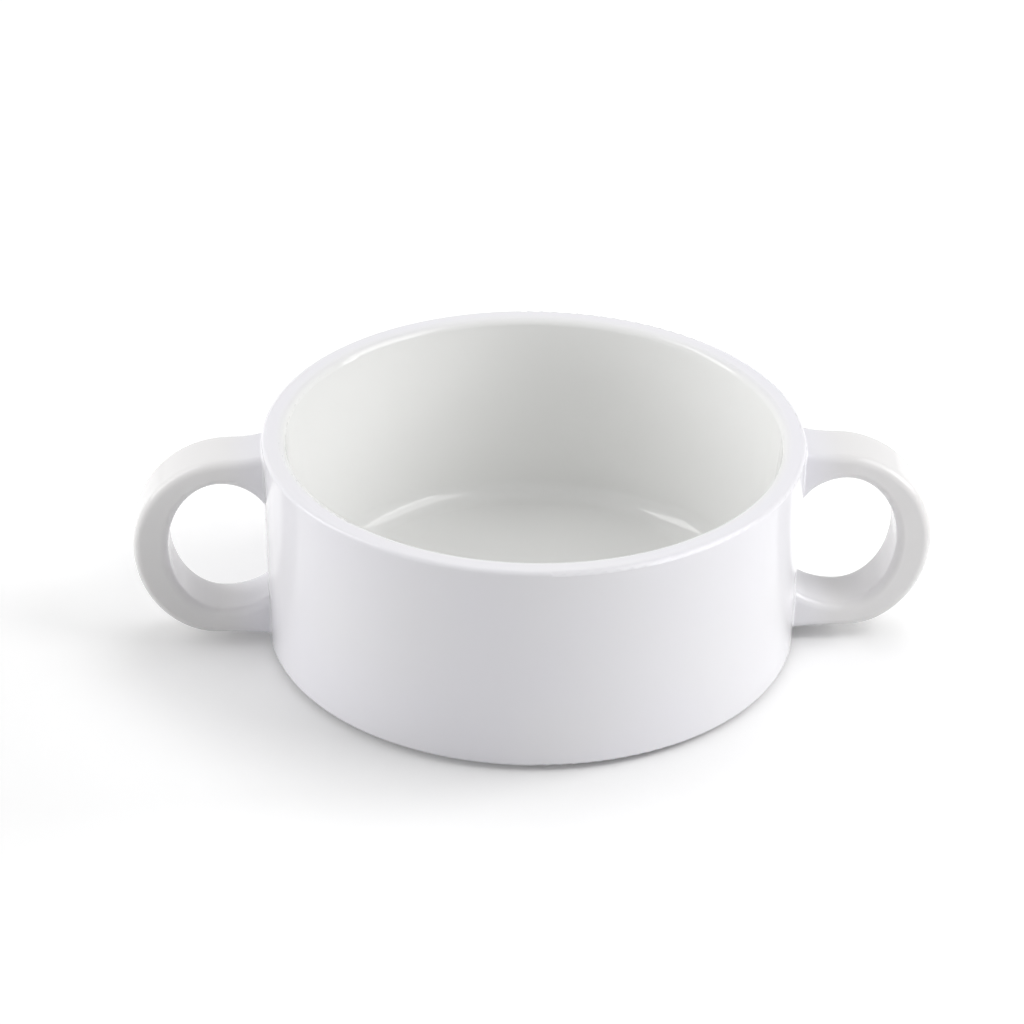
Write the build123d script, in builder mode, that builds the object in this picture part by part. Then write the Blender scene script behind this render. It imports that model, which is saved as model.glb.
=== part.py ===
from build123d import *
import os

# A straight-sided soup bowl of glazed porcelain with two upright loop handles (lugs).
#
# The frame is millimetres with +Z up. The origin is at the centre of the foot ring's sole, on the table.
# +X runs along the handles, through the right one. +Y runs to the back.
#
# The potter's pieces are the thrown body, two cast handles, and the slip that joins each arm to the wall.

# Body, outside
rim_diameter = 120.0
base_diameter = 117.8
body_height = 50.0
lip_outer_radius = 1.0
base_corner_radius = 1.0

# Body, inside
rim_thickness = 5.0
base_wall_thickness = 8.6
lip_inner_radius = 1.6
cove_radius = 5.0
floor_thickness = 3.6

# Foot ring and the recess inside it
foot_height = 1.0
foot_width = 4.0
foot_inset = 4.9
foot_edge_radius = 0.5
foot_root_radius = 0.4
recess_height = 2.4
recess_corner_radius = 1.0

# Handles
handle_projection = 29.25
strap_width = 13.6
strap_edge_radius = 1.9
arm_thickness = 6.0
side_thickness = 7.7
top_fall = 1.2
bottom_rise = 0.5
upper_corner_run = 22.0
lower_corner_run = 18.5
hole_corner_run = 12.0
upper_flare_height = 12.5
lower_flare_height = 7.0

# Slip joints
slip_thickness = 0.4
slip_radius = 0.6
joint_land = 0.1

# A handle's blank runs on inside the wall this far before it is trimmed to the wall: its hole, and its arms
hole_inset = 1.4
root_overrun = 5.0

# The largest rounding that a strap carries on each edge, as a share of its thickness
edge_limit_share = 0.46

# A point this close to a face counts as lying on it
face_tolerance = 0.02

rim_radius = rim_diameter / 2
base_radius = base_diameter / 2
mouth_radius = rim_radius - rim_thickness
well_radius = base_radius - base_wall_thickness
floor_height = recess_height + floor_thickness
foot_outer_radius = base_radius - foot_inset
foot_inner_radius = foot_outer_radius - foot_width

handle_top = body_height - lip_outer_radius - slip_radius - joint_land
handle_bottom = foot_height + base_corner_radius + slip_radius + joint_land
handle_reach = (rim_radius + base_radius) / 2 + handle_projection
arch_top = handle_top - top_fall
arch_bottom = handle_bottom + bottom_rise
middle_height = (arch_top + arch_bottom) / 2
upper_corner_centre = handle_reach - upper_corner_run
lower_corner_centre = handle_reach - lower_corner_run
hole_top = arch_top - arm_thickness
hole_bottom = arch_bottom + arm_thickness
hole_reach = handle_reach - side_thickness
hole_corner_centre = hole_reach - hole_corner_run
narrowest_radius = min(rim_radius, base_radius)
hole_wall_side = narrowest_radius - hole_inset
edge_radius = min(strap_edge_radius, edge_limit_share * arm_thickness)


def corner_near(sketch, radius, height):
    """The corner of a sketched profile that lies nearest to a radius and a height."""
    return sketch.vertices().sort_by_distance((radius, height))[0]


def wall_cone(growth):
    """The outer wall as a full cone, larger all round by a growth in radius."""
    with BuildPart() as cone:
        with Locations((0, 0, foot_height)):
            Cone(
                bottom_radius=base_radius + growth,
                top_radius=rim_radius + growth,
                height=body_height - foot_height,
                align=(Align.CENTER, Align.CENTER, Align.MIN),
            )
    return cone.part


def ends_the_root(edge):
    """Whether an edge of the right handle's blank is the straight one deep inside the wall."""
    return max(vertex.X for vertex in edge.vertices()) < narrowest_radius - root_overrun / 2


def round_an_arm(edge):
    """Whether an edge runs round one of the right handle's arms, on the body's outer wall."""
    middle = edge.position_at(1 / 2)
    share = (middle.Z - foot_height) / (body_height - foot_height)
    wall_radius = base_radius + (rim_radius - base_radius) * share
    on_wall = abs(Vector(middle.X, middle.Y).length - wall_radius) < face_tolerance
    between_ends = handle_bottom - face_tolerance < middle.Z < handle_top + face_tolerance
    return on_wall and between_ends and middle.X > 0


# Bowl body: the whole section is turned about the Z axis
with BuildPart() as bowl_body:
    with BuildSketch(Plane.XZ) as section:
        with BuildLine():
            Polyline(
                (0, recess_height),
                (foot_inner_radius, recess_height),
                (foot_inner_radius, 0),
                (foot_outer_radius, 0),
                (foot_outer_radius, foot_height),
                (base_radius, foot_height),
                (rim_radius, body_height),
                (mouth_radius, body_height),
                (well_radius, floor_height),
                (0, floor_height),
                close=True,
            )
        make_face()
        fillet(corner_near(section, foot_inner_radius, recess_height), radius=recess_corner_radius)
        fillet(corner_near(section, foot_inner_radius, 0), radius=foot_edge_radius)
        fillet(corner_near(section, foot_outer_radius, 0), radius=foot_edge_radius)
        fillet(corner_near(section, foot_outer_radius, foot_height), radius=foot_root_radius)
        fillet(corner_near(section, base_radius, foot_height), radius=base_corner_radius)
        fillet(corner_near(section, rim_radius, body_height), radius=lip_outer_radius)
        fillet(corner_near(section, mouth_radius, body_height), radius=lip_inner_radius)
        fillet(corner_near(section, well_radius, floor_height), radius=cove_radius)
    revolve(axis=Axis.Z)
bowl_body.part.label = "bowl_body"

# The faces that the arms end at: the wall itself, and the outer face of the slip that lies on it
wall_face = wall_cone(0)
slip_face = wall_cone(slip_thickness)

# The blank of a handle: an upright loop, closed inside the wall, with rounded front and back edges
with BuildPart() as handle_blank:
    with BuildSketch(Plane.XZ):
        with BuildLine():
            top_sweep = TangentArc(
                (upper_corner_centre, arch_top),
                (narrowest_radius, handle_top),
                tangent=(-1, 0),
            )
            top_root = Line(top_sweep @ 1, top_sweep @ 1 + (top_sweep % 1) * root_overrun)
            EllipticalCenterArc(
                (upper_corner_centre, middle_height),
                x_radius=upper_corner_run,
                y_radius=arch_top - middle_height,
                start_angle=0,
                arc_size=90,
            )
            EllipticalCenterArc(
                (lower_corner_centre, middle_height),
                x_radius=lower_corner_run,
                y_radius=middle_height - arch_bottom,
                start_angle=-90,
                arc_size=90,
            )
            bottom_sweep = TangentArc(
                (lower_corner_centre, arch_bottom),
                (narrowest_radius, handle_bottom),
                tangent=(-1, 0),
            )
            bottom_root = Line(bottom_sweep @ 1, bottom_sweep @ 1 + (bottom_sweep % 1) * root_overrun)
            Line(bottom_root @ 1, top_root @ 1)
        make_face()
        with BuildLine():
            EllipticalCenterArc(
                (hole_corner_centre, middle_height),
                x_radius=hole_corner_run,
                y_radius=hole_top - middle_height,
                start_angle=-90,
                arc_size=180,
            )
            EllipticalCenterArc(
                (hole_corner_centre, hole_top - upper_flare_height),
                x_radius=hole_corner_centre - hole_wall_side,
                y_radius=upper_flare_height,
                start_angle=90,
                arc_size=90,
            )
            Line(
                (hole_wall_side, hole_top - upper_flare_height),
                (hole_wall_side, hole_bottom + lower_flare_height),
            )
            EllipticalCenterArc(
                (hole_corner_centre, hole_bottom + lower_flare_height),
                x_radius=hole_corner_centre - hole_wall_side,
                y_radius=lower_flare_height,
                start_angle=180,
                arc_size=90,
            )
        make_face(mode=Mode.SUBTRACT)
    extrude(amount=strap_width / 2, both=True)
    front_and_back = handle_blank.faces().filter_by(Axis.Y)
    strap_edges = front_and_back.edges().filter_by(lambda edge: not ends_the_root(edge))
    fillet(strap_edges, radius=edge_radius)

with BuildPart() as right_handle:
    add(handle_blank.part)
    add(slip_face, mode=Mode.SUBTRACT)
right_handle.part.label = "right_handle"

with BuildPart() as left_handle:
    mirror(right_handle.part, about=Plane.YZ)
left_handle.part.label = "left_handle"

# The stretch of wall behind the right handle, where the slip is laid on
with BuildPart() as wall_patch:
    with Locations((rim_radius, 0, middle_height)):
        Box(rim_radius, 2 * strap_width, 2 * body_height)
    add(wall_face, mode=Mode.INTERSECT)

# The slip: a thin layer between each arm and the wall, with the fillet that is smoothed out of it all round
with BuildPart() as slip:
    add(wall_patch.part)
    add(handle_blank.part)
    fillet(slip.edges().filter_by(round_an_arm), radius=slip_radius)
    add(wall_patch.part, mode=Mode.SUBTRACT)
    add(right_handle.part, mode=Mode.SUBTRACT)
slip_pads = slip.solids().sort_by(Axis.Z)

with BuildPart() as right_upper_slip_joint:
    add(slip_pads[-1])
right_upper_slip_joint.part.label = "right_upper_slip_joint"

with BuildPart() as right_lower_slip_joint:
    add(slip_pads[0])
right_lower_slip_joint.part.label = "right_lower_slip_joint"

with BuildPart() as left_upper_slip_joint:
    mirror(right_upper_slip_joint.part, about=Plane.YZ)
left_upper_slip_joint.part.label = "left_upper_slip_joint"

with BuildPart() as left_lower_slip_joint:
    mirror(right_lower_slip_joint.part, about=Plane.YZ)
left_lower_slip_joint.part.label = "left_lower_slip_joint"

os.makedirs("parts", exist_ok=True)
export_step(bowl_body.part, "parts/bowl_body.step")
export_step(right_handle.part, "parts/right_handle.step")
export_step(left_handle.part, "parts/left_handle.step")
export_step(right_upper_slip_joint.part, "parts/right_upper_slip_joint.step")
export_step(right_lower_slip_joint.part, "parts/right_lower_slip_joint.step")
export_step(left_upper_slip_joint.part, "parts/left_upper_slip_joint.step")
export_step(left_lower_slip_joint.part, "parts/left_lower_slip_joint.step")
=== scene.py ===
"""A white porcelain soup bowl with two loop handles, on a white studio floor.

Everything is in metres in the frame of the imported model: +X through the right handle, +Y to the back, +Z up,
and the origin in the middle of the foot ring's sole.
"""
import math

import bpy
from mathutils import Matrix, Vector

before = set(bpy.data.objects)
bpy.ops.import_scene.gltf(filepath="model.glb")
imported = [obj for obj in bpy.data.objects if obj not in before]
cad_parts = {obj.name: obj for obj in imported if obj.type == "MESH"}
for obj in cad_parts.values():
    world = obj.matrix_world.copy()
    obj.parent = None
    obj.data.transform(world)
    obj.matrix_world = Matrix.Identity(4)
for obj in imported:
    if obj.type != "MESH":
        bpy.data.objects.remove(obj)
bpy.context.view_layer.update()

MM = 0.001

# The camera, as fitted to the photograph's rim, base and handles
CAMERA_DISTANCE = 900 * MM
CAMERA_ELEVATION = math.radians(29.9)
CAMERA_YAW = math.radians(2.8)
CAMERA_ROLL = 0.0139
AIM_SIDEWAYS = -4.65 * MM
AIM_HEIGHT = 30.0 * MM
FOCAL_PIXELS = 4040
IMAGE_PIXELS = 1024
SENSOR_WIDTH = 36.0
FARTHEST_SEEN = 20.0

# The glazed porcelain: its white by place, with the light's colour painted in (lilac on the outer wall, warmer
# inside) and painted shade on the handles, the paler white that it drifts towards, and its gloss
INSIDE_PAINTED_WARM_WHITE = (0.860, 0.862, 0.852)
WALL_PAINTED_LILAC_WHITE = (0.858, 0.850, 0.892)
# painted shade: the handles are the same porcelain, painted a little darker to stand in for their shade
HANDLE_PAINTED_SHADE_WHITE = (0.832, 0.821, 0.821)
PALER_WHITE = (0.872, 0.872, 0.856)
PALER_SHARE = 0.25
GLAZE_ROUGHNESS = 0.06
RIPPLE_ROUGHNESS = 0.03
REFRACTIVE_INDEX = 1.5

# The bare porcelain of the sole: the darkest and the palest of its grain, and its roughness
BISCUIT_WHITE = (0.78, 0.76, 0.72)
BISCUIT_PALE = (0.84, 0.83, 0.80)
BISCUIT_ROUGHNESS = 0.75

# Where the finish changes, and where the painted light tint and the painted shade of the handles change: heights
# over the table, and distances from the bowl's axis
SOLE_EDGE = (0.15 * MM, 0.35 * MM)
PAINTED_TINT_MOUTH_EDGE = (54.5 * MM, 57.5 * MM)
PAINTED_SHADE_HANDLE_ROOT = (60.5 * MM, 70.0 * MM)

# The patterns of the finish, each by its scale and its detail, and the drift's levels between which it sets in
DRIFT = (28.0, 2.0)
RIPPLE = (160.0, 1.0)
GRAIN = (2400.0, 3.0)
DRIFT_EDGE = (0.3, 0.7)

# The relief of the surface, of which the glaze's ripple takes a share
RELIEF_DEPTH = 0.06 * MM
RELIEF_STRENGTH = 0.25
RIPPLE_SHARE = 0.25

# The floor, as a matt white and as it shows to the camera, with its even glow, and the painted light it has beyond
# the bowl, which leaves painted shade around the bowl
FLOOR_HALF_SIDE = 3.0
FLOOR_WHITE = (0.8, 0.8, 0.8)
FLOOR_SHOWN = (0.96, 0.96, 0.96)
FLOOR_GLOW = 0.10
FLOOR_PAINTED_LIGHT_FAR = 0.10
PAINTED_LIGHT_RISE = (65 * MM, 112 * MM)

# Soft lamps: azimuth from the right towards the back, elevation, distance, width, height and power
BOWL_LAMPS = {
    "right_key": (-15, 35, 1.4, 1.2, 1.2, 11.8),
    "right_low_key": (-15, 20, 1.4, 1.2, 0.7, 4.9),
    "left_strip": (170, 35, 1.2, 0.4, 1.1, 4.6),
}
FLOOR_LAMPS = {
    "floor_key": (-15, 50, 1.4, 0.5, 0.5, 4.1),
    "floor_low_key": (15, 20, 1.4, 0.5, 0.5, 7.5),
    "floor_top": (45, 75, 1.4, 1.0, 1.0, 4.9),
}

# The room's light on the bowl, by the side that it comes from
ROOM_LEFT = 0.21
ROOM_LEFT_LOW = 0.90
ROOM_BACK = 0.13


class Value:
    """A socket that carries a number, with the operators that are used on it."""

    def __init__(self, nodes, socket):
        self.nodes = nodes
        self.socket = socket

    def combine(self, operation, first, second):
        return self.nodes.add("ShaderNodeMath", {"operation": operation}, {0: first, 1: second})

    def __add__(self, other):
        return self.combine("ADD", self, other)

    def __radd__(self, other):
        return self.combine("ADD", other, self)

    def __sub__(self, other):
        return self.combine("SUBTRACT", self, other)

    def __rsub__(self, other):
        return self.combine("SUBTRACT", other, self)

    def __mul__(self, other):
        return self.combine("MULTIPLY", self, other)

    def __rmul__(self, other):
        return self.combine("MULTIPLY", other, self)

    def step_between(self, low, high):
        """0 below low, 1 above high, and smooth between them."""
        settings = {"interpolation_type": "SMOOTHSTEP"}
        return self.nodes.add("ShaderNodeMapRange", settings, {"Value": self, "From Min": low, "From Max": high})


class Nodes:
    """The node tree of one material or of the world."""

    def __init__(self, tree):
        self.tree = tree
        tree.nodes.clear()

    def add(self, kind, settings, sockets, output=0):
        """Adds a node, applies its settings, fills its sockets and returns one of its outputs."""
        node = self.tree.nodes.new(kind)
        for name, value in settings.items():
            setattr(node, name, value)
        for key, value in sockets.items():
            if isinstance(value, Value):
                self.tree.links.new(value.socket, node.inputs[key])
            else:
                node.inputs[key].default_value = value
        return Value(self, node.outputs[output]) if node.outputs else None

    def mix_colours(self, factor, first, second):
        """A blend of two colours by a factor from 0 to 1. The Mix node takes its colours at 6 and 7."""
        return self.add("ShaderNodeMix", {"data_type": "RGBA"}, {0: factor, 6: first, 7: second}, output=2)

    def length(self, vector):
        """The length of a vector."""
        return self.add("ShaderNodeVectorMath", {"operation": "LENGTH"}, {0: vector}, output="Value")

    def noise(self, place, scale, detail):
        """A cloudy pattern from 0 to 1."""
        return self.add("ShaderNodeTexNoise", {}, {"Vector": place, "Scale": scale, "Detail": detail})

    def along(self, axis, vector):
        """One of a vector's three numbers: X, Y or Z."""
        return self.add("ShaderNodeSeparateXYZ", {}, {"Vector": vector}, output=axis)


def new_material(name):
    """An empty material and its node tree."""
    material = bpy.data.materials.new(name)
    material.use_nodes = True
    return material, Nodes(material.node_tree)


def colour(rgb):
    """A colour with full alpha."""
    return (*rgb, 1.0)


def glazed_porcelain():
    """White porcelain under a clear gloss glaze, bare on the sole of the foot ring, with the light's colour
    painted in by place (lilac outside, warmer inside) and painted shade on the handles.
    """
    material, nodes = new_material("glazed_porcelain")
    place = nodes.add("ShaderNodeTexCoord", {}, {}, output="Object")
    glazed = nodes.along("Z", place).step_between(*SOLE_EDGE)
    level = nodes.add("ShaderNodeVectorMath", {"operation": "MULTIPLY"}, {0: place, 1: (1, 1, 0)})
    radius = nodes.length(level)
    painted_tint_outside = radius.step_between(*PAINTED_TINT_MOUTH_EDGE)
    painted_shade_on_handle = radius.step_between(*PAINTED_SHADE_HANDLE_ROOT)
    drift = nodes.noise(place, *DRIFT)
    ripple = nodes.noise(place, *RIPPLE)
    grain = nodes.noise(place, *GRAIN)

    # painted light: the outer wall takes a lilac white and the inside a warmer white for the light's colour,
    # though both are one porcelain
    painted_tint_body = nodes.mix_colours(painted_tint_outside, colour(INSIDE_PAINTED_WARM_WHITE), colour(WALL_PAINTED_LILAC_WHITE))
    # painted shade: the handles take a darker white than the body
    white = nodes.mix_colours(painted_shade_on_handle, painted_tint_body, colour(HANDLE_PAINTED_SHADE_WHITE))
    coat = nodes.mix_colours(drift.step_between(*DRIFT_EDGE) * PALER_SHARE, white, colour(PALER_WHITE))
    bare = nodes.mix_colours(grain, colour(BISCUIT_WHITE), colour(BISCUIT_PALE))
    base = nodes.mix_colours(glazed, bare, coat)
    gloss = glazed * (BISCUIT_ROUGHNESS - GLAZE_ROUGHNESS)
    roughness = BISCUIT_ROUGHNESS - gloss + glazed * ripple * RIPPLE_ROUGHNESS
    relief = glazed * ripple * RIPPLE_SHARE + (1 - glazed) * grain
    sockets = {"Strength": RELIEF_STRENGTH, "Distance": RELIEF_DEPTH, "Height": relief}
    normal = nodes.add("ShaderNodeBump", {}, sockets)
    sockets = {"Base Color": base, "Roughness": roughness, "Normal": normal, "IOR": REFRACTIVE_INDEX}
    shader = nodes.add("ShaderNodeBsdfPrincipled", {}, sockets)
    nodes.add("ShaderNodeOutputMaterial", {}, {"Surface": shader})
    return material


def shows_white(nodes):
    """1 for the rays that show the white surroundings: to the camera, in the gloss and through glass."""
    seen = nodes.add("ShaderNodeLightPath", {}, {}, output="Is Camera Ray")
    mirrored = nodes.add("ShaderNodeLightPath", {}, {}, output="Is Glossy Ray")
    passed = nodes.add("ShaderNodeLightPath", {}, {}, output="Is Transmission Ray")
    return (seen + mirrored + passed).step_between(0, 1)


def studio_floor():
    """A pale floor that keeps shadows and shows white where the light is full, with painted light that grows away
    from the bowl and so leaves painted shade around it.
    """
    material, nodes = new_material("studio_floor")
    shown = shows_white(nodes)
    paint = nodes.mix_colours(shown, colour(FLOOR_WHITE), colour(FLOOR_SHOWN))
    matt = nodes.add("ShaderNodeBsdfDiffuse", {}, {"Color": paint})
    distance = nodes.length(nodes.add("ShaderNodeTexCoord", {}, {}, output="Object"))
    # painted light: the floor glows more from 65 to 112 mm out from the bowl's axis, which leaves painted shade
    # around the bowl
    strength = (FLOOR_GLOW + FLOOR_PAINTED_LIGHT_FAR * distance.step_between(*PAINTED_LIGHT_RISE)) * shown
    glow = nodes.add("ShaderNodeEmission", {}, {"Color": colour((1, 1, 1)), "Strength": strength})
    both = nodes.add("ShaderNodeAddShader", {}, {0: matt, 1: glow})
    nodes.add("ShaderNodeOutputMaterial", {}, {"Surface": both})
    return material


def add_floor():
    """A wide flat floor at the height of the sole."""
    half = FLOOR_HALF_SIDE
    mesh = bpy.data.meshes.new("studio_floor")
    mesh.from_pydata([(-half, -half, 0), (half, -half, 0), (half, half, 0), (-half, half, 0)], [], [(0, 1, 2, 3)])
    floor = bpy.data.objects.new("studio_floor", mesh)
    bpy.context.scene.collection.objects.link(floor)
    mesh.materials.append(studio_floor())
    return floor


def add_softbox(name, azimuth, elevation, distance, width, height, power):
    """A rectangular lamp that faces the bowl."""
    lamp = bpy.data.lights.new(name, "AREA")
    lamp.shape = "RECTANGLE"
    lamp.size = width
    lamp.size_y = height
    lamp.energy = power
    holder = bpy.data.objects.new(name, lamp)
    bpy.context.scene.collection.objects.link(holder)
    azimuth, elevation = math.radians(azimuth), math.radians(elevation)
    level = Vector((math.cos(azimuth), math.sin(azimuth), 0))
    way = math.cos(elevation) * level + Vector((0, 0, math.sin(elevation)))
    holder.location = way * distance
    holder.rotation_euler = way.to_track_quat("Z", "Y").to_euler()
    return holder


def add_lamps(lamps, floor, state):
    """Adds lamps that light the floor alone (INCLUDE), or all but the floor (EXCLUDE), as flags do in a studio."""
    linked = bpy.data.collections.new("floor_" + state.lower())
    linked.objects.link(floor)
    linked.collection_objects[0].light_linking.link_state = state
    for name, setting in lamps.items():
        add_softbox(name, *setting).light_linking.receiver_collection = linked


def room_light(nodes):
    """The pale room's strength by direction: brightest low at the left, and brighter behind than in front."""
    way = nodes.add("ShaderNodeTexCoord", {}, {}, output="Generated")
    rightwards = nodes.along("X", way)
    backwards = nodes.along("Y", way)
    upwards = nodes.along("Z", way)
    aside = rightwards * rightwards
    left_low = (1 - upwards) * (1 - upwards) * aside * aside * (1 - rightwards)
    left = (1 - rightwards) * (1 - rightwards)
    back = (1 + backwards) * (1 + backwards)
    return ROOM_LEFT_LOW * left_low + ROOM_LEFT * left + ROOM_BACK * back


def light_studio(floor):
    """Lamps for the bowl, lamps for the floor, and a pale room that shows white."""
    add_lamps(BOWL_LAMPS, floor, "EXCLUDE")
    add_lamps(FLOOR_LAMPS, floor, "INCLUDE")
    world = bpy.data.worlds.new("studio_surround")
    bpy.context.scene.world = world
    world.use_nodes = True
    nodes = Nodes(world.node_tree)
    shown = shows_white(nodes)
    strength = shown + (1 - shown) * room_light(nodes)
    surround = nodes.add("ShaderNodeBackground", {}, {"Color": colour((1, 1, 1)), "Strength": strength})
    nodes.add("ShaderNodeOutputWorld", {}, {"Surface": surround})


def add_camera():
    """The photograph's viewpoint: a long lens, from the front and above."""
    camera = bpy.data.cameras.new("camera")
    camera.sensor_width = SENSOR_WIDTH
    camera.lens = SENSOR_WIDTH * FOCAL_PIXELS / IMAGE_PIXELS
    camera.clip_end = FARTHEST_SEEN
    holder = bpy.data.objects.new("camera", camera)
    bpy.context.scene.collection.objects.link(holder)
    aim = Vector((AIM_SIDEWAYS, 0, AIM_HEIGHT))
    away = Vector((0, -math.cos(CAMERA_ELEVATION), math.sin(CAMERA_ELEVATION)))
    turn = Matrix.Rotation(-CAMERA_YAW, 4, "Z")
    stand = Matrix.Translation(aim + CAMERA_DISTANCE * away)
    tilt = Matrix.Rotation(math.pi / 2 - CAMERA_ELEVATION, 4, "X")
    roll = Matrix.Rotation(CAMERA_ROLL, 4, "Z")
    holder.matrix_world = turn @ stand @ tilt @ roll
    bpy.context.scene.camera = holder


glaze = glazed_porcelain()
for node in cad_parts.values():
    node.data.materials.clear()
    node.data.materials.append(glaze)

light_studio(add_floor())
add_camera()

scene = bpy.context.scene
scene.view_settings.view_transform = "Standard"
